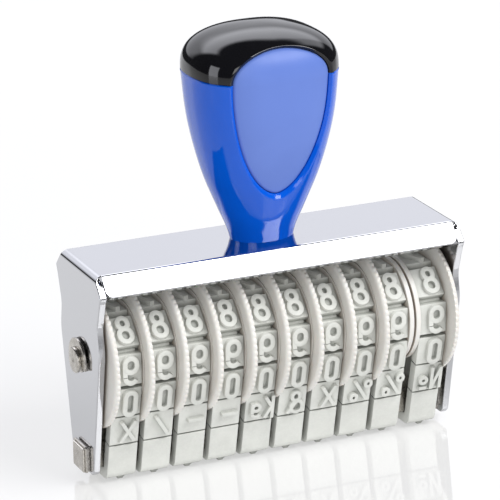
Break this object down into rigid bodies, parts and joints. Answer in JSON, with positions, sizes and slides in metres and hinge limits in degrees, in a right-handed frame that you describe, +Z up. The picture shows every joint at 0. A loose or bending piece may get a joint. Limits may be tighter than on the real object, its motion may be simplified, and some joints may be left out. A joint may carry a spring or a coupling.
{
  "type": "hand-held band numbering stamp",
  "caption": "Hand-held numbering stamp: chromed bent-sheet frame with a plastic palm grip, thumb wheels on a steel axle, and raised rubber character bands that run over a bar.",
  "frame": {"origin": "on the plane of the printing faces, under the middle of the stamp", "axes": "+Z up through the grip, +X along the wheel axle to the right as seen from the front, +Y to the back"},
  "size_m": [0.1168, 0.0406, 0.1274],
  "materials": {
    "chromed_sheet": "polished",
    "steel": "satin",
    "blue_plastic": "gloss",
    "panel_plastic": "satin",
    "black_plastic": "gloss",
    "wheel_plastic": "satin",
    "rubber": "matte"
  },
  "bodies": {
    "stamp_body": {"frame": "chromed_sheet", "handle_body": "blue_plastic", "handle_cap": "black_plastic", "front_panel": "panel_plastic", "rear_panel": "panel_plastic", "handle_screw": "steel", "screw_washer": "steel", "wheel_axle": "steel", "axle_clip_left": "steel", "axle_clip_right": "steel", "anvil_bar": "steel", "anvil_clip_left": "steel", "anvil_clip_right": "steel", "number_band_01": "rubber", "number_band_02": "rubber", "number_band_03": "rubber", "number_band_04": "rubber", "number_band_05": "rubber", "number_band_06": "rubber", "number_band_07": "rubber", "number_band_08": "rubber", "number_band_09": "rubber", "number_band_10": "rubber"},
    "wheel_01": {"number_wheel_01": "wheel_plastic"},
    "wheel_02": {"number_wheel_02": "wheel_plastic"},
    "wheel_03": {"number_wheel_03": "wheel_plastic"},
    "wheel_04": {"number_wheel_04": "wheel_plastic"},
    "wheel_05": {"number_wheel_05": "wheel_plastic"},
    "wheel_06": {"number_wheel_06": "wheel_plastic"},
    "wheel_07": {"number_wheel_07": "wheel_plastic"},
    "wheel_08": {"number_wheel_08": "wheel_plastic"},
    "wheel_09": {"number_wheel_09": "wheel_plastic"},
    "wheel_10": {"number_wheel_10": "wheel_plastic"}
  },
  "joints": [
    {"name": "wheel_01_spin", "type": "hinge", "parent": "stamp_body", "child": "wheel_01", "pos_m": [0, 0, 0.03635], "axis": [1, 0, 0], "continuous": true},
    {"name": "wheel_02_spin", "type": "hinge", "parent": "stamp_body", "child": "wheel_02", "pos_m": [0, 0, 0.03635], "axis": [1, 0, 0], "continuous": true},
    {"name": "wheel_03_spin", "type": "hinge", "parent": "stamp_body", "child": "wheel_03", "pos_m": [0, 0, 0.03635], "axis": [1, 0, 0], "continuous": true},
    {"name": "wheel_04_spin", "type": "hinge", "parent": "stamp_body", "child": "wheel_04", "pos_m": [0, 0, 0.03635], "axis": [1, 0, 0], "continuous": true},
    {"name": "wheel_05_spin", "type": "hinge", "parent": "stamp_body", "child": "wheel_05", "pos_m": [0, 0, 0.03635], "axis": [1, 0, 0], "continuous": true},
    {"name": "wheel_06_spin", "type": "hinge", "parent": "stamp_body", "child": "wheel_06", "pos_m": [0, 0, 0.03635], "axis": [1, 0, 0], "continuous": true},
    {"name": "wheel_07_spin", "type": "hinge", "parent": "stamp_body", "child": "wheel_07", "pos_m": [0, 0, 0.03635], "axis": [1, 0, 0], "continuous": true},
    {"name": "wheel_08_spin", "type": "hinge", "parent": "stamp_body", "child": "wheel_08", "pos_m": [0, 0, 0.03635], "axis": [1, 0, 0], "continuous": true},
    {"name": "wheel_09_spin", "type": "hinge", "parent": "stamp_body", "child": "wheel_09", "pos_m": [0, 0, 0.03635], "axis": [1, 0, 0], "continuous": true},
    {"name": "wheel_10_spin", "type": "hinge", "parent": "stamp_body", "child": "wheel_10", "pos_m": [0, 0, 0.03635], "axis": [1, 0, 0], "continuous": true}
  ]
}
